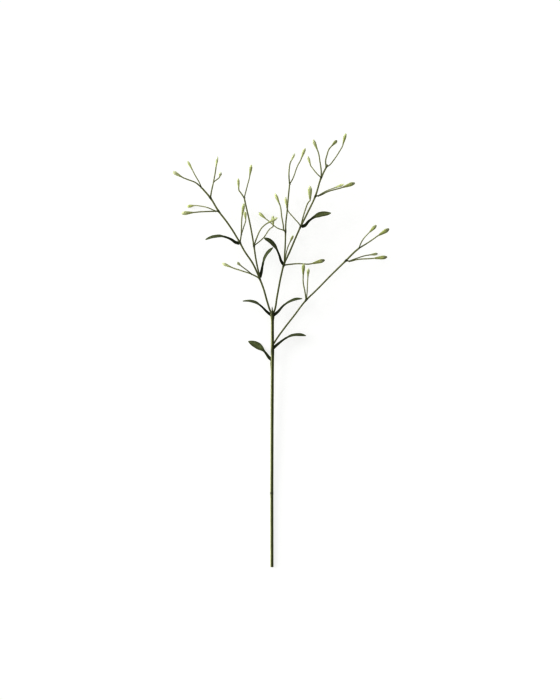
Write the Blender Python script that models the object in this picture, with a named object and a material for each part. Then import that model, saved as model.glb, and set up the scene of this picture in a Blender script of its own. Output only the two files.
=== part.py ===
"""A cut flowering stem that lies on a surface, built from its own grown pieces.

One straight main stem ends in a collar. Three branches leave it, and two of them carry
an inner branch. Every branch bears pairs of fine stalks, and every stalk ends in a bud.
Eight lance leaves grow at the collar and the knots.

All sizes are in millimetres until the meshes are made. X runs across the stem, Y along
it from the cut end, and Z up from the surface. The pieces are made in that frame, and a
parent empty then moves the middle of the whole box to the origin.
"""

import math

import bmesh
import bpy
from mathutils import Vector

MM = 0.001

# Driving dimensions, in millimetres
GAP = 0.3
STEM_RADIUS = 2.4
LOW_NODE_SWELLING = 0.25
FORK_SWELLING = 0.4
COLLAR_RADIUS = 3.4
COLLAR_START = 398.0
COLLAR_END = 411.5
STEM_SPUR_RADIUS = 1.3
STEM_TIP_RADIUS = 0.4
STALK_ROOT_RADIUS = 1.0
STALK_END_RADIUS = 0.88
SIDE_STALK_RADIUS = 0.75
STALK_CUP_RADIUS = 1.0
STALK_CUP_LENGTH = 1.4
KNOT_SWELLING = 0.45
KNOT_LENGTH = 3.2
LEAF_BLADE_WIDTH = 10.4
LEAF_ROOT_WIDTH = 5.6
LEAF_STALK_WIDTH = 3.0
LEAF_TIP_WIDTH = 1.0
LEAF_STALK_THICKNESS = 1.5
LEAF_BLADE_THICKNESS = 0.9
LEAF_EDGE_THICKNESS = 0.62
LEAF_CHANNEL = 0.9
LEAF_STALK_CHANNEL = 0.3

# How finely the pieces are faceted
STEM_SIDES = 12
BRANCH_SIDES = 8
STALK_SIDES = 6
BUD_SIDES = 10
STEM_STEP = 30.0
BRANCH_STEP = 9.0
STALK_STEP = 7.0
LEAF_STEP = 2.0
LEAF_STATIONS = 11
LEAF_COLUMNS = (-1.0, -0.5, 0.0, 0.5, 1.0)

# A leaf narrows from its broad root to its stalk. As shares of its length, where it starts
# to widen again, where its blade is widest and from where that is fully rolled, and how
# roundly it then narrows to its point
LEAF_WIDENS_FROM = 0.38
LEAF_WIDEST_AT = 0.66
LEAF_ROLLED_BY = 0.50
LEAF_POINT_CURVE = 2.6

# A bud's outline: how far along it, and its half width there as a share of the widest
BUD_OUTLINE = (
    (0.0, 0.42),
    (0.20, 0.60),
    (0.42, 0.84),
    (0.64, 1.00),
    (0.82, 0.93),
    (0.94, 0.62),
    (1.0, 0.25),
)
BUD_LOBES = 5
BUD_LOBE_DEPTH = 0.07

# The main stem's axis: x, y, z, and the radius there
MAIN_STEM = (
    (-0.6, 0.0, 2.32, STEM_RADIUS),
    (-0.8, 117.5, 3.6, STEM_RADIUS),
    (-0.8, 119.5, 3.6, STEM_RADIUS + LOW_NODE_SWELLING),
    (-0.8, 121.5, 3.6, STEM_RADIUS),
    (-0.3, 260.0, 8.0, STEM_RADIUS),
    (0.2, 332.0, 11.6, STEM_RADIUS),
    (0.4, 352.0, 12.6, STEM_RADIUS + FORK_SWELLING),
    (0.3, 364.0, 13.3, STEM_RADIUS),
    (0.2, COLLAR_START, 15.6, STEM_RADIUS),
    (0.2, 405.0, 16.1, COLLAR_RADIUS),
    (0.2, COLLAR_END, 16.6, COLLAR_RADIUS),
    (0.1, 413.5, 16.8, STEM_SPUR_RADIUS),
    (-0.1, 421.0, 17.4, STEM_TIP_RADIUS),
)

# Each branch: its axis, its radius at the root, middle and end, which points of the axis
# swell into knots, and its stalks. A stalk is its bud's half width and then a route: from
# the knot to the bud's foot, and last the bud's tip. Stalks stand in pairs, and some of
# the second ones leave the first at a fork beyond the knot.
LEFT_BRANCH = {
    "axis": (
        (0.2, 408, 16.2),
        (-3, 414, 16.8),
        (-8, 429, 18.6),
        (-14.5, 451.5, 22),
        (-20.5, 467, 24),
        (-31, 490, 28.5),
        (-45.5, 512, 32),
        (-52, 524, 33),
        (-72, 556, 37),
        (-86.5, 575, 38.5),
        (-99.5, 596, 40),
        (-114, 613, 41),
    ),
    "radii": (1.35, 1.25, 1.3),
    "knots": (4, 7, 9, 10),
    "stalks": {
        "1a": (2.3, (-20.5, 467, 24), (-33, 473.5, 24), (-49, 479, 22),
               (-67, 485, 19), (-82, 491.5, 16.5)),
        "1b": (2.1, (-33, 473.5, 24), (-41, 480, 34), (-51, 487, 46), (-57, 492, 60)),
        "2a": (2.3, (-52, 524, 33), (-50, 537, 34), (-49.5, 552, 35),
               (-49, 567.5, 36), (-46, 588, 38)),
        "2b": (2.4, (-50, 537, 34), (-47, 546.5, 29), (-43.5, 563.5, 19), (-45, 575, 6)),
        "3a": (3.0, (-86.5, 575, 38.5), (-100, 574.5, 40), (-118, 573.5, 43),
               (-128, 572.5, 44.5), (-147, 571, 46)),
        "3b": (2.4, (-91, 575, 38.7), (-103.5, 580.5, 33), (-119, 584, 22),
               (-127.5, 584.5, 14), (-138, 583.5, 0.38)),
        "4a": (1.9, (-99.5, 596, 40), (-98.5, 603, 41), (-94.5, 621.5, 46),
               (-91, 644.5, 49.5), (-88.5, 662.5, 52)),
        "4b": (2.3, (-94.5, 621.5, 46), (-91, 624, 50), (-85, 629.5, 62), (-83, 635.5, 78)),
        "5a": (2.8, (-114, 613, 41), (-123, 620.5, 42.5), (-137, 626, 45),
               (-146.5, 630, 47), (-161.5, 638.5, 50)),
        "5b": (1.9, (-114, 613, 41), (-117, 620, 38), (-126.5, 637, 30),
               (-130, 643, 27), (-137.5, 656.5, 18)),
    },
}
LEFT_INNER_BRANCH = {
    "axis": (
        (-20.5, 467, 24),
        (-20.5, 471.5, 28),
        (-22.5, 479, 31),
        (-26, 496, 34.5),
        (-29.5, 519, 38),
        (-35.5, 553, 43),
        (-43, 586.5, 48),
        (-45, 596, 49),
    ),
    "radii": (1.15, 1.1, 1.1),
    "knots": (4,),
    "stalks": {
        "1a": (2.4, (-29.5, 519, 38), (-25, 531.5, 43), (-16, 548.5, 50),
               (-7.5, 555.5, 53), (8, 564, 56)),
        "1b": (2.4, (-29.5, 519, 38), (-14, 532, 40), (-3, 547, 41),
               (1, 552, 41), (0.5, 568, 33.5)),
        "2a": (1.9, (-45, 596, 49), (-51, 605, 39), (-54.5, 611, 32), (-55.5, 628.5, 20.5)),
        "2b": (2.2, (-45, 596, 49), (-40, 615.5, 51), (-36.5, 632, 53), (-34, 649.5, 55)),
    },
}
RIGHT_BRANCH = {
    "axis": (
        (0.2, 408, 16.2),
        (3, 413.5, 17),
        (8, 438.5, 20.5),
        (14.5, 472, 24.5),
        (18.5, 488, 26),
        (27, 507, 29),
        (46, 550.5, 36),
        (56, 570.5, 39),
        (69.5, 599, 42.5),
        (79, 629, 46),
        (87, 645.5, 48),
        (89, 649.5, 48.5),
    ),
    "radii": (1.3, 1.25, 1.2),
    "knots": (4, 6, 8, 9),
    "stalks": {
        "1a": (3.0, (18.5, 488, 26), (25, 489, 26), (41, 490.5, 24),
               (64.5, 491, 21), (84.5, 496.5, 18.5)),
        "1b": (1.8, (18.5, 488, 26), (20.5, 497, 22.5), (25.5, 518, 20),
               (28.5, 526, 18), (33.5, 536.5, 4.5)),
        "2a": (3.4, (46, 550.5, 36), (53, 576, 38), (58.5, 589.5, 39),
               (60.5, 594, 39.5), (60, 616, 41)),
        "2b": (2.2, (46, 550.5, 36), (43, 555, 34.5), (35.5, 563.5, 30),
               (23, 582, 21), (20.5, 599, 11.5)),
        "3a": (2.9, (69.5, 599, 42.5), (74, 599.5, 42), (90, 606.5, 40),
               (113.5, 613.5, 38), (133, 620.5, 37)),
        "3b": (2.1, (74, 599.5, 42), (84, 605.5, 49), (100, 612, 59), (115, 617.5, 67)),
        "4a": (2.5, (79, 629, 46), (79, 637.5, 46.5), (77, 653.5, 48),
               (72, 673.5, 50), (65, 690, 52)),
        "4b": (1.9, (79, 629, 46), (76.5, 631, 44.5), (64.5, 645, 33),
               (61, 650, 29), (57, 664.5, 17)),
        "5a": (2.4, (87, 645.5, 48), (86, 654.5, 44), (88.5, 666, 36),
               (92.5, 676.5, 28), (96, 681, 24), (104, 690, 6)),
        "5b": (2.3, (87, 645.5, 48), (92, 648.5, 48.5), (99.5, 657.5, 49),
               (107.5, 669.5, 50), (113.5, 682.5, 50.5), (118, 700, 51.5)),
    },
}
RIGHT_INNER_BRANCH = {
    "axis": (
        (18.5, 488, 26),
        (19.5, 492.5, 30),
        (20, 503, 34),
        (21, 521, 38),
        (21.5, 542, 42),
        (22, 556.5, 45),
        (24, 574.5, 48),
        (25.5, 592.5, 51),
        (28, 618, 55),
    ),
    "radii": (1.1, 1.05, 1.0),
    "knots": (4,),
    "stalks": {
        "1a": (2.3, (21.5, 542, 42), (19, 544, 42), (18, 551, 41.5),
               (15.5, 565, 39), (11, 587, 34), (4, 604, 29.5)),
        "1b": (2.4, (19, 544, 42), (10, 547, 36), (-6.5, 560, 22),
               (-12, 564, 18), (-22.5, 573.5, 4.5)),
        "2a": (1.7, (28, 618, 55), (27, 630.5, 48), (27.5, 643.5, 39),
               (29.5, 655, 31), (36, 669, 17)),
        "2b": (2.3, (28, 618, 55), (31.5, 623.5, 55.5), (41, 647.5, 58),
               (46.5, 659.5, 59), (52.5, 676, 60.5)),
    },
}
LOW_RIGHT_BRANCH = {
    "axis": (
        (0.4, 358.5, 12.8),
        (8, 370.5, 14.5),
        (20, 387, 17),
        (34, 405, 19.5),
        (55, 432, 22.5),
        (71, 447.5, 25),
        (93.5, 470.5, 28.5),
        (119, 495.5, 32),
        (133, 509.5, 33.5),
        (140, 515.5, 34),
    ),
    "radii": (1.2, 1.15, 1.3),
    "knots": (4, 7),
    "stalks": {
        "1a": (2.5, (55, 432, 22.5), (52.5, 447, 24), (50, 461, 25.5),
               (49.5, 472, 26.5), (50, 491, 28)),
        "1b": (2.3, (55, 432, 22.5), (56.5, 447, 31), (57, 461, 38),
               (57, 470, 42), (57.5, 482.5, 56.5)),
        "2a": (2.9, (119, 495.5, 32), (124, 494.5, 32), (136.5, 497, 33),
               (164, 499, 35), (185, 501, 36.5)),
        "2b": (2.1, (124, 494.5, 32), (136, 499, 27.5), (150, 503.5, 18),
               (158, 505, 12.5), (170, 507, 0.38)),
        "3a": (3.1, (140, 515.5, 34), (151, 522, 35), (165, 531.5, 37),
               (171, 536, 38), (188, 546.5, 40)),
        "3b": (2.6, (140, 515.5, 34), (143, 523.5, 40), (151, 535, 52),
               (156.5, 541, 58), (166.5, 551.5, 70.5)),
    },
}
BRANCHES = {
    "left": LEFT_BRANCH,
    "left_inner": LEFT_INNER_BRANCH,
    "right": RIGHT_BRANCH,
    "right_inner": RIGHT_INNER_BRANCH,
    "low_right": LOW_RIGHT_BRANCH,
}
# An inner branch grows from a knot of its parent; the others grow from the main stem
PARENTS = {"left_inner": "left", "right_inner": "right"}

# Each leaf: how far it is rolled about its midrib in degrees (0 faces up, 90 stands on
# edge) along its stalk, at the start of its blade and at its tip, the branches that its
# base has to clear, and the midrib from its root.
# The low left leaf bends down and lies flat on the surface, its midrib REST above it.
REST = LEAF_BLADE_THICKNESS / 2
LEAVES = {
    "low_left": (
        (0, 0, 0),
        (),
        ((0.4, 335, 12), (-4, 338, 11.5), (-9.5, 345, 6.5),
         (-15.5, 352, 2), (-22.5, 357.5, REST), (-39, 365.5, REST)),
    ),
    "low_right": (
        (-34, -76, -55),
        ("low_right",),
        ((0.6, 353, 12.6), (10.5, 361.5, 13.5), (22, 370, 14),
         (30, 373.5, 13.5), (45, 375.5, 12), (54.5, 374, 11)),
    ),
    "fork_left": (
        (37, 70, 70),
        ("left",),
        ((0.3, 406, 16), (-8, 412, 16.5), (-17, 421, 18),
         (-22.5, 425, 18.5), (-35.5, 430, 18), (-47.5, 430, 16)),
    ),
    "fork_right": (
        (-26, -74, -64),
        ("right",),
        ((0.3, 406, 16), (9, 412.5, 16.5), (17.5, 422, 18),
         (23, 426, 18.5), (37, 432.5, 18), (48.5, 434, 16)),
    ),
    "left_knot": (
        (-8, -72, -55),
        ("left", "left_inner"),
        ((-20.5, 467, 24), (-17.5, 477, 23), (-15.5, 487.5, 21.5),
         (-13, 496, 20.5), (-7.5, 507.5, 19.5), (1.5, 516.5, 18)),
    ),
    "left_branch": (
        (21, 70, 58),
        ("left",),
        ((-51.5, 523, 33), (-59, 524.5, 33.5), (-65.5, 529, 34),
         (-77.5, 533.5, 34.5), (-94.5, 533.5, 33), (-107.5, 529, 30)),
    ),
    "right_knot": (
        (37, 68, 32),
        ("right", "right_inner"),
        ((18.5, 488, 26), (14, 495, 27), (11.5, 503, 28.5),
         (3, 519.5, 31), (-2.5, 525.5, 31), (-13.5, 532, 29)),
    ),
    "right_branch": (
        (-4, -50, -28),
        ("right",),
        ((46, 550.5, 36), (52, 551.5, 35), (59, 559, 34),
         (66.5, 564.5, 33), (75.5, 568.5, 32), (95, 572, 31)),
    ),
}

# Colours: linear red, green, blue
STEM_COLOUR = (0.062, 0.083, 0.022)
BRANCH_COLOUR = (0.085, 0.112, 0.035)
LEAF_COLOUR = (0.030, 0.045, 0.012)
BUD_COLOUR = (0.42, 0.52, 0.10)


def clear_scene():
    """Start from an empty scene."""
    for leftover in list(bpy.data.objects):
        bpy.data.objects.remove(leftover, do_unlink=True)


def plain_material(name, colour, roughness):
    """A plant surface of one colour."""
    material = bpy.data.materials.new(name)
    material.use_nodes = True
    shader = material.node_tree.nodes["Principled BSDF"]
    shader.inputs["Base Color"].default_value = (*colour, 1.0)
    shader.inputs["Roughness"].default_value = roughness
    shader.inputs["Metallic"].default_value = 0.0
    return material


def smooth_route(points, step, arrival=None):
    """A smooth curve through the points, as a list of evenly spaced ones along each span.

    arrival is the direction in which the curve reaches its last point.
    """
    points = [Vector(point) for point in points]
    spans = [(b - a).length for a, b in zip(points, points[1:])]
    slopes = []
    for i in range(len(points)):
        if i == 0:
            slopes.append((points[1] - points[0]) / spans[0])
        elif i == len(points) - 1:
            slopes.append(arrival or (points[-1] - points[-2]) / spans[-1])
        else:
            before = (points[i] - points[i - 1]) / spans[i - 1]
            after = (points[i + 1] - points[i]) / spans[i]
            share = spans[i - 1] / (spans[i - 1] + spans[i])
            slopes.append(before.lerp(after, share))
    route = [points[0]]
    for i, span in enumerate(spans):
        count = max(1, round(span / step))
        for k in range(1, count + 1):
            t = k / count
            place = points[i] * (2 * t**3 - 3 * t**2 + 1)
            place += slopes[i] * span * (t**3 - 2 * t**2 + t)
            place += points[i + 1] * (3 * t**2 - 2 * t**3)
            place += slopes[i + 1] * span * (t**3 - t**2)
            route.append(place)
    return route


def directions(route):
    """The direction of travel at each point of a route."""
    found = []
    for i in range(len(route)):
        before = route[max(i - 1, 0)]
        after = route[min(i + 1, len(route) - 1)]
        found.append((after - before).normalized())
    return found


def shares_of_length(route):
    """How far along the route each point lies, from 0 to 1."""
    run = [0.0]
    for a, b in zip(route, route[1:]):
        run.append(run[-1] + (b - a).length)
    return [distance / run[-1] for distance in run]


def skin(name, rings, alike=False):
    """A closed body with a flat cap on its first and last ring, from millimetres to metres.

    alike splits the second half of each ring's faces along the other diagonal, so that a
    blade's two faces are split the same way and stay apart.
    """
    sides = len(rings[0])
    bm = bmesh.new()
    verts = [[bm.verts.new(point * MM) for point in ring] for ring in rings]
    for near, far in zip(verts, verts[1:]):
        for k in range(sides):
            m = (k + 1) % sides
            if alike and k >= sides // 2:
                bm.faces.new((near[k], near[m], far[k]))
                bm.faces.new((near[m], far[m], far[k]))
            else:
                bm.faces.new((near[k], near[m], far[m]))
                bm.faces.new((near[k], far[m], far[k]))
    bm.faces.new(verts[0])
    bm.faces.new(verts[-1])
    bmesh.ops.triangulate(bm, faces=[face for face in bm.faces if len(face.verts) > 3])
    bmesh.ops.recalc_face_normals(bm, faces=bm.faces)
    mesh = bpy.data.meshes.new(name)
    bm.to_mesh(mesh)
    bm.free()
    body = bpy.data.objects.new(name, mesh)
    bpy.context.scene.collection.objects.link(body)
    return body


def tube(name, route, radii, sides):
    """A round body along a route, with one radius for each point."""
    rings = []
    for centre, ahead, radius in zip(route, directions(route), radii):
        side = Vector((0, 0, 1)).cross(ahead).normalized()
        top = ahead.cross(side)
        ring = []
        for k in range(sides):
            angle = 2 * math.pi * (k + 0.5) / sides
            ring.append(centre + side * radius * math.cos(angle) + top * radius * math.sin(angle))
        rings.append(ring)
    return skin(name, rings)


def along(shares, root, middle, end):
    """A value at each share of a length, from its values at the root, middle and end."""
    values = []
    for t in shares:
        if t < 0.5:
            values.append(root + (middle - root) * t / 0.5)
        else:
            values.append(middle + (end - middle) * (t - 0.5) / 0.5)
    return values


def branch_tube(name, branch, spare=0.0):
    """The branch's own axis as a tube that swells at its knots; spare widens it."""
    route = smooth_route(branch["axis"], BRANCH_STEP)
    radii = along(shares_of_length(route), *branch["radii"])
    knots = [Vector(branch["axis"][i]) for i in branch["knots"]]
    swollen = []
    for place, radius in zip(route, radii):
        swelling = sum(math.exp(-(((place - knot).length / KNOT_LENGTH) ** 2)) for knot in knots)
        swollen.append(radius + KNOT_SWELLING * swelling + spare)
    return tube(name, route, swollen, BRANCH_SIDES)


def stalk_tube(name, label, points, spare=0.0):
    """A fine stalk from its knot to a small cup that faces the bud squarely."""
    *points, foot, tip = points
    foot = Vector(foot)
    ahead = (Vector(tip) - foot).normalized()
    neck = foot - ahead * STALK_CUP_LENGTH
    route = smooth_route([*points, neck], STALK_STEP, ahead)
    root = STALK_ROOT_RADIUS if label.endswith("a") else SIDE_STALK_RADIUS
    end = min(root, STALK_END_RADIUS)
    radii = [radius + spare for radius in along(shares_of_length(route), root, end, end)]
    return tube(name, route + [foot], radii + [STALK_CUP_RADIUS + spare], STALK_SIDES)


def branch_pieces(name, branch, spare=0.0):
    """The branch's axis and all its stalks, still as separate bodies."""
    pieces = [branch_tube(name, branch, spare)]
    for label, (_, *points) in branch["stalks"].items():
        pieces.append(stalk_tube(f"{name}_stalk_{label}", label, points, spare))
    return pieces


def combine(piece, others, operation):
    """Join the others to the piece, or cut it clear of them, and remove them."""
    group = bpy.data.collections.new(piece.name + "_group")
    bpy.context.scene.collection.children.link(group)
    for other in others:
        group.objects.link(other)
        bpy.context.scene.collection.objects.unlink(other)
    boolean = piece.modifiers.new("combine", "BOOLEAN")
    boolean.operation = operation
    boolean.operand_type = "COLLECTION"
    boolean.collection = group
    boolean.solver = "EXACT"
    graph = bpy.context.evaluated_depsgraph_get()
    result = bpy.data.meshes.new_from_object(piece.evaluated_get(graph), depsgraph=graph)
    result.name = piece.name
    piece.modifiers.clear()
    piece.data = result
    for other in others:
        bpy.data.objects.remove(other, do_unlink=True)
    bpy.data.collections.remove(group)


def drop_scraps(piece):
    """Keep the largest of a piece's separate bodies, after a cut that left loose scraps."""
    bm = bmesh.new()
    bm.from_mesh(piece.data)
    bodies = []
    waiting = set(bm.faces)
    while waiting:
        body = [waiting.pop()]
        for face in body:
            for edge in face.edges:
                for beyond in edge.link_faces:
                    if beyond in waiting:
                        waiting.remove(beyond)
                        body.append(beyond)
        bodies.append(body)
    bodies.sort(key=lambda body: sum(face.calc_area() for face in body))
    scraps = [face for body in bodies[:-1] for face in body]
    bmesh.ops.delete(bm, geom=scraps, context="FACES")
    bm.to_mesh(piece.data)
    bm.free()


def stem_tube(name, spare=0.0):
    """The main stem, swelling at its low knots and at the collar, with a fine tip."""
    route = []
    radii = []
    for (*a, radius_a), (*b, radius_b) in zip(MAIN_STEM, MAIN_STEM[1:]):
        start = Vector(a)
        span = Vector(b) - start
        count = max(1, round(span.length / STEM_STEP))
        for k in range(count):
            route.append(start + span * k / count)
            radii.append(radius_a + (radius_b - radius_a) * k / count + spare)
    *last, last_radius = MAIN_STEM[-1]
    route.append(Vector(last))
    radii.append(last_radius + spare)
    return tube(name, route, radii, STEM_SIDES)


def leaf_section(t):
    """A leaf's half width, its thickness and how far its margins rise, at a share of its length."""
    root_half = LEAF_ROOT_WIDTH / 2
    stalk_half = LEAF_STALK_WIDTH / 2
    blade_half = LEAF_BLADE_WIDTH / 2
    tip_half = LEAF_TIP_WIDTH / 2
    if t < LEAF_WIDENS_FROM:
        half = root_half + (stalk_half - root_half) * t / LEAF_WIDENS_FROM
        thick = LEAF_STALK_THICKNESS
    elif t < LEAF_WIDEST_AT:
        rise = (t - LEAF_WIDENS_FROM) / (LEAF_WIDEST_AT - LEAF_WIDENS_FROM)
        rise = rise * rise * (3 - 2 * rise)
        half = stalk_half + (blade_half - stalk_half) * rise
        thick = LEAF_STALK_THICKNESS + (LEAF_BLADE_THICKNESS - LEAF_STALK_THICKNESS) * rise
    else:
        fall = (t - LEAF_WIDEST_AT) / (1 - LEAF_WIDEST_AT)
        half = tip_half + (blade_half - tip_half) * (1 - fall**LEAF_POINT_CURVE)
        thick = LEAF_BLADE_THICKNESS
    fullness = half / blade_half
    return half, thick, LEAF_CHANNEL * fullness + LEAF_STALK_CHANNEL * (1 - fullness)


def leaf_roll(t, rolls):
    """How far a leaf is rolled about its midrib at a share of its length, in radians."""
    along_stalk, in_blade, at_tip = rolls
    if t < LEAF_WIDENS_FROM:
        roll = along_stalk
    elif t < LEAF_ROLLED_BY:
        share = (t - LEAF_WIDENS_FROM) / (LEAF_ROLLED_BY - LEAF_WIDENS_FROM)
        roll = along_stalk + (in_blade - along_stalk) * share
    else:
        share = (t - LEAF_ROLLED_BY) / (1 - LEAF_ROLLED_BY)
        roll = in_blade + (at_tip - in_blade) * share
    return math.radians(roll)


def leaf_blade(name, midrib, rolls):
    """A channelled stalk that widens into a lance blade with raised margins and a point.

    A midrib that comes down to the surface stays half the blade's thickness above it, so
    that the blade's underside lies flat.
    """
    route = smooth_route(midrib, LEAF_STEP)
    for place in route:
        place.z = max(place.z, REST)
    shares = shares_of_length(route)
    stations = []
    for i in range(LEAF_STATIONS + 1):
        wanted = i / LEAF_STATIONS
        nearest = min(range(len(route)), key=lambda k: abs(shares[k] - wanted))
        stations.append(nearest)
    ahead = directions(route)
    rings = []
    for place in stations:
        half, thick, rise = leaf_section(shares[place])
        turn = leaf_roll(shares[place], rolls)
        side = Vector((0, 0, 1)).cross(ahead[place]).normalized()
        top = ahead[place].cross(side)
        across = side * math.cos(turn) + top * math.sin(turn)
        face = ahead[place].cross(across)
        upper = []
        lower = []
        for u in LEAF_COLUMNS:
            lift = rise * max(0.0, abs(u) - 0.5) * 2
            wall = thick if abs(u) < 1 else LEAF_EDGE_THICKNESS
            middle = route[place] + across * half * u + face * lift
            upper.append(middle + face * wall / 2)
            lower.append(middle - face * wall / 2)
        rings.append(upper + lower[::-1])
    return skin(name, rings, alike=True)


def bud_body(name, foot, tip, widest):
    """A closed bud: a spindle with shallow lobes that run from its foot to its tip."""
    axis = tip - foot
    ahead = axis.normalized()
    side = Vector((0, 0, 1)).cross(ahead).normalized()
    top = ahead.cross(side)
    rings = []
    for t, share in BUD_OUTLINE:
        centre = foot + axis * t
        ring = []
        for k in range(BUD_SIDES):
            angle = 2 * math.pi * k / BUD_SIDES
            lobe = BUD_LOBE_DEPTH * (1 - math.cos(BUD_LOBES * angle)) / 2
            radius = widest * share * (1 - lobe)
            ring.append(centre + side * radius * math.cos(angle) + top * radius * math.sin(angle))
        rings.append(ring)
    return skin(name, rings)


def make_main_stem(material):
    """The main stem's node."""
    stem = stem_tube("main_stem")
    stem.data.materials.append(material)
    return [stem]


def make_branches(material):
    """One node for each branch with its stalks, cut clear of what it grows from."""
    made = []
    for name, branch in BRANCHES.items():
        pieces = branch_pieces("branch_" + name, branch)
        combine(pieces[0], pieces[1:], "UNION")
        if name in PARENTS:
            around = branch_pieces("around_" + PARENTS[name], BRANCHES[PARENTS[name]], GAP)
        else:
            around = [stem_tube("around_stem", GAP)]
        combine(pieces[0], around, "DIFFERENCE")
        drop_scraps(pieces[0])
        pieces[0].data.materials.clear()
        pieces[0].data.materials.append(material)
        made.append(pieces[0])
    return made


def make_leaves(material):
    """One node for each leaf, its base cut clear of the stem and the branches beside it."""
    made = []
    for name, (rolls, beside, midrib) in LEAVES.items():
        leaf = leaf_blade("leaf_" + name, midrib, rolls)
        around = [stem_tube("around_stem", GAP)]
        for neighbour in beside:
            around += branch_pieces("around_" + neighbour, BRANCHES[neighbour], GAP)
        combine(leaf, around, "DIFFERENCE")
        drop_scraps(leaf)
        leaf.data.materials.clear()
        leaf.data.materials.append(material)
        made.append(leaf)
    return made


def make_buds(material):
    """One node for each bud, a little beyond the cup of its stalk."""
    made = []
    for name, branch in BRANCHES.items():
        for label, (widest, *_, foot, tip) in branch["stalks"].items():
            tip = Vector(tip)
            foot = Vector(foot)
            foot = foot + (tip - foot).normalized() * GAP
            bud = bud_body(f"bud_{name}_{label}", foot, tip, widest)
            bud.data.materials.append(material)
            made.append(bud)
    return made


def shade_round(piece, degrees):
    """Smooth shading, with the edges sharper than the angle kept crisp."""
    piece.data.shade_smooth()
    piece.data.set_sharp_from_angle(angle=math.radians(degrees))


def centre_on_surface(pieces):
    """Hang the pieces on an empty that puts the middle of their box's underside at the origin."""
    corners = [vert.co for piece in pieces for vert in piece.data.vertices]
    low = Vector([min(corner[i] for corner in corners) for i in range(3)])
    high = Vector([max(corner[i] for corner in corners) for i in range(3)])
    base = bpy.data.objects.new("gypsophila_stem", None)
    bpy.context.scene.collection.objects.link(base)
    base.location = (-(low.x + high.x) / 2, -(low.y + high.y) / 2, -low.z)
    for piece in pieces:
        piece.parent = base


def main():
    clear_scene()
    pieces = make_main_stem(plain_material("stem_green", STEM_COLOUR, 0.55))
    pieces += make_branches(plain_material("branch_green", BRANCH_COLOUR, 0.55))
    pieces += make_leaves(plain_material("leaf_green", LEAF_COLOUR, 0.5))
    pieces += make_buds(plain_material("bud_lime", BUD_COLOUR, 0.45))
    for piece in pieces:
        shade_round(piece, 50)
    centre_on_surface(pieces)


main()
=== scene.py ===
"""A cut flowering stem that lies on a pale surface, dressed for a view from straight above.

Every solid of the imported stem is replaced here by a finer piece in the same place: the stem
and its branches are ribbed tubes that follow the grown routes and run into each other at the
knots, the leaves are channelled blades with a midrib and veins, and each closed bud is a
calyx of five sepals with its petals rolled inside it. Where a bud stands, how long it is and
how wide, is read from the solid that it replaces.
"""

import math
import random
from functools import partial

import bmesh
import bpy
import numpy as np
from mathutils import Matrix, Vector
from mathutils.kdtree import KDTree


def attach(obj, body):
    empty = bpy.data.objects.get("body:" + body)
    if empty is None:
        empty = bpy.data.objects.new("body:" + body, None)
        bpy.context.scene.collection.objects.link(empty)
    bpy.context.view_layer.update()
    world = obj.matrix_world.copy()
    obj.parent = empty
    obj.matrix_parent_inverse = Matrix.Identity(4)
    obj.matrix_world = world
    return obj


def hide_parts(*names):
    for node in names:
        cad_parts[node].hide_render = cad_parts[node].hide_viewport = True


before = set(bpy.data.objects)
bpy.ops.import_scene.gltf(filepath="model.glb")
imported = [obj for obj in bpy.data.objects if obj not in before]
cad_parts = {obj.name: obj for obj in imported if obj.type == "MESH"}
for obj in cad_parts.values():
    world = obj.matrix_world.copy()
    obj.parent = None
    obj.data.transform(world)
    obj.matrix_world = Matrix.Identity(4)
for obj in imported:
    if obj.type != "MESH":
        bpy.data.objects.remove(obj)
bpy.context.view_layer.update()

MM = 0.001
SCENE = bpy.context.scene
UP = Vector((0, 0, 1))
# The kinds of node that are used most
MATH = "ShaderNodeMath"
MIX = "ShaderNodeMix"
RAMP = "ShaderNodeValToRGB"

# Sizes are in millimetres, and so are the places in the tables, from the middle of the cut end.
# The solids leave this gap between a bud and its stalk:
GAP = 0.3

# The main stem
STEM_RADIUS = 2.4
COLLAR_RADIUS = 3.4
STEM_SPUR_RADIUS = 1.3
STEM_TIP_RADIUS = 0.4
LOW_NODE_SWELLING = 0.25
FORK_SWELLING = 0.4
SHEATH_RADIUS = 0.95
SHEATH_TAPER = 0.72

# The branches and their stalks
STALK_ROOT_RADIUS = 1.0
STALK_END_RADIUS = 0.88
SIDE_STALK_RADIUS = 0.75
STALK_FLARE = 0.3
STALK_FLARE_LENGTH = 1.2
STALK_CUP_RADIUS = 1.0
STALK_CUP_LENGTH = 1.4
STALK_CUP_RIM = 0.35
KNOT_SWELLING = 0.45
KNOT_LENGTH = 3.2
BRACT_LENGTH = 2.6
BRACT_DROP = 1.3
BRACT_SEAT = 0.7

# The skin darkens at a knot and at a stalk's root, and is young from so far along a stalk
ROOT_DARKNESS = 0.8
ROOT_DARK_LENGTH = 1.8
YOUNG_FROM = 25.0
YOUNG_AT_AXIS_END = 0.6

# The leaves
LEAF_BLADE_WIDTH = 10.4
LEAF_ROOT_WIDTH = 5.6
LEAF_STALK_WIDTH = 3.0
LEAF_TIP_WIDTH = 0.3
LEAF_STALK_THICKNESS = 1.5
LEAF_BLADE_THICKNESS = 0.8
LEAF_MARGIN_THICKNESS = 0.35
LEAF_CHANNEL = 0.9
LEAF_STALK_CHANNEL = 0.3
LEAF_WAVE = 0.3
LEAF_BURIED = 1.2
LEAF_CLEARANCE = 0.02
MIDRIB_HALF_WIDTH = 0.5
MIDRIB_GROOVE = 0.22
MIDRIB_RIDGE = 0.28
MIDRIB_LINE = 0.42
SIDE_VEINS = 7
# Shares of a leaf's length
LEAF_WIDENS_FROM = 0.38
LEAF_WIDEST_AT = 0.66
LEAF_ROLLED_BY = 0.50
LEAF_POINT_CURVE = 2.6
# Points across each half of a blade
LEAF_COLUMNS = 16

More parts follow.
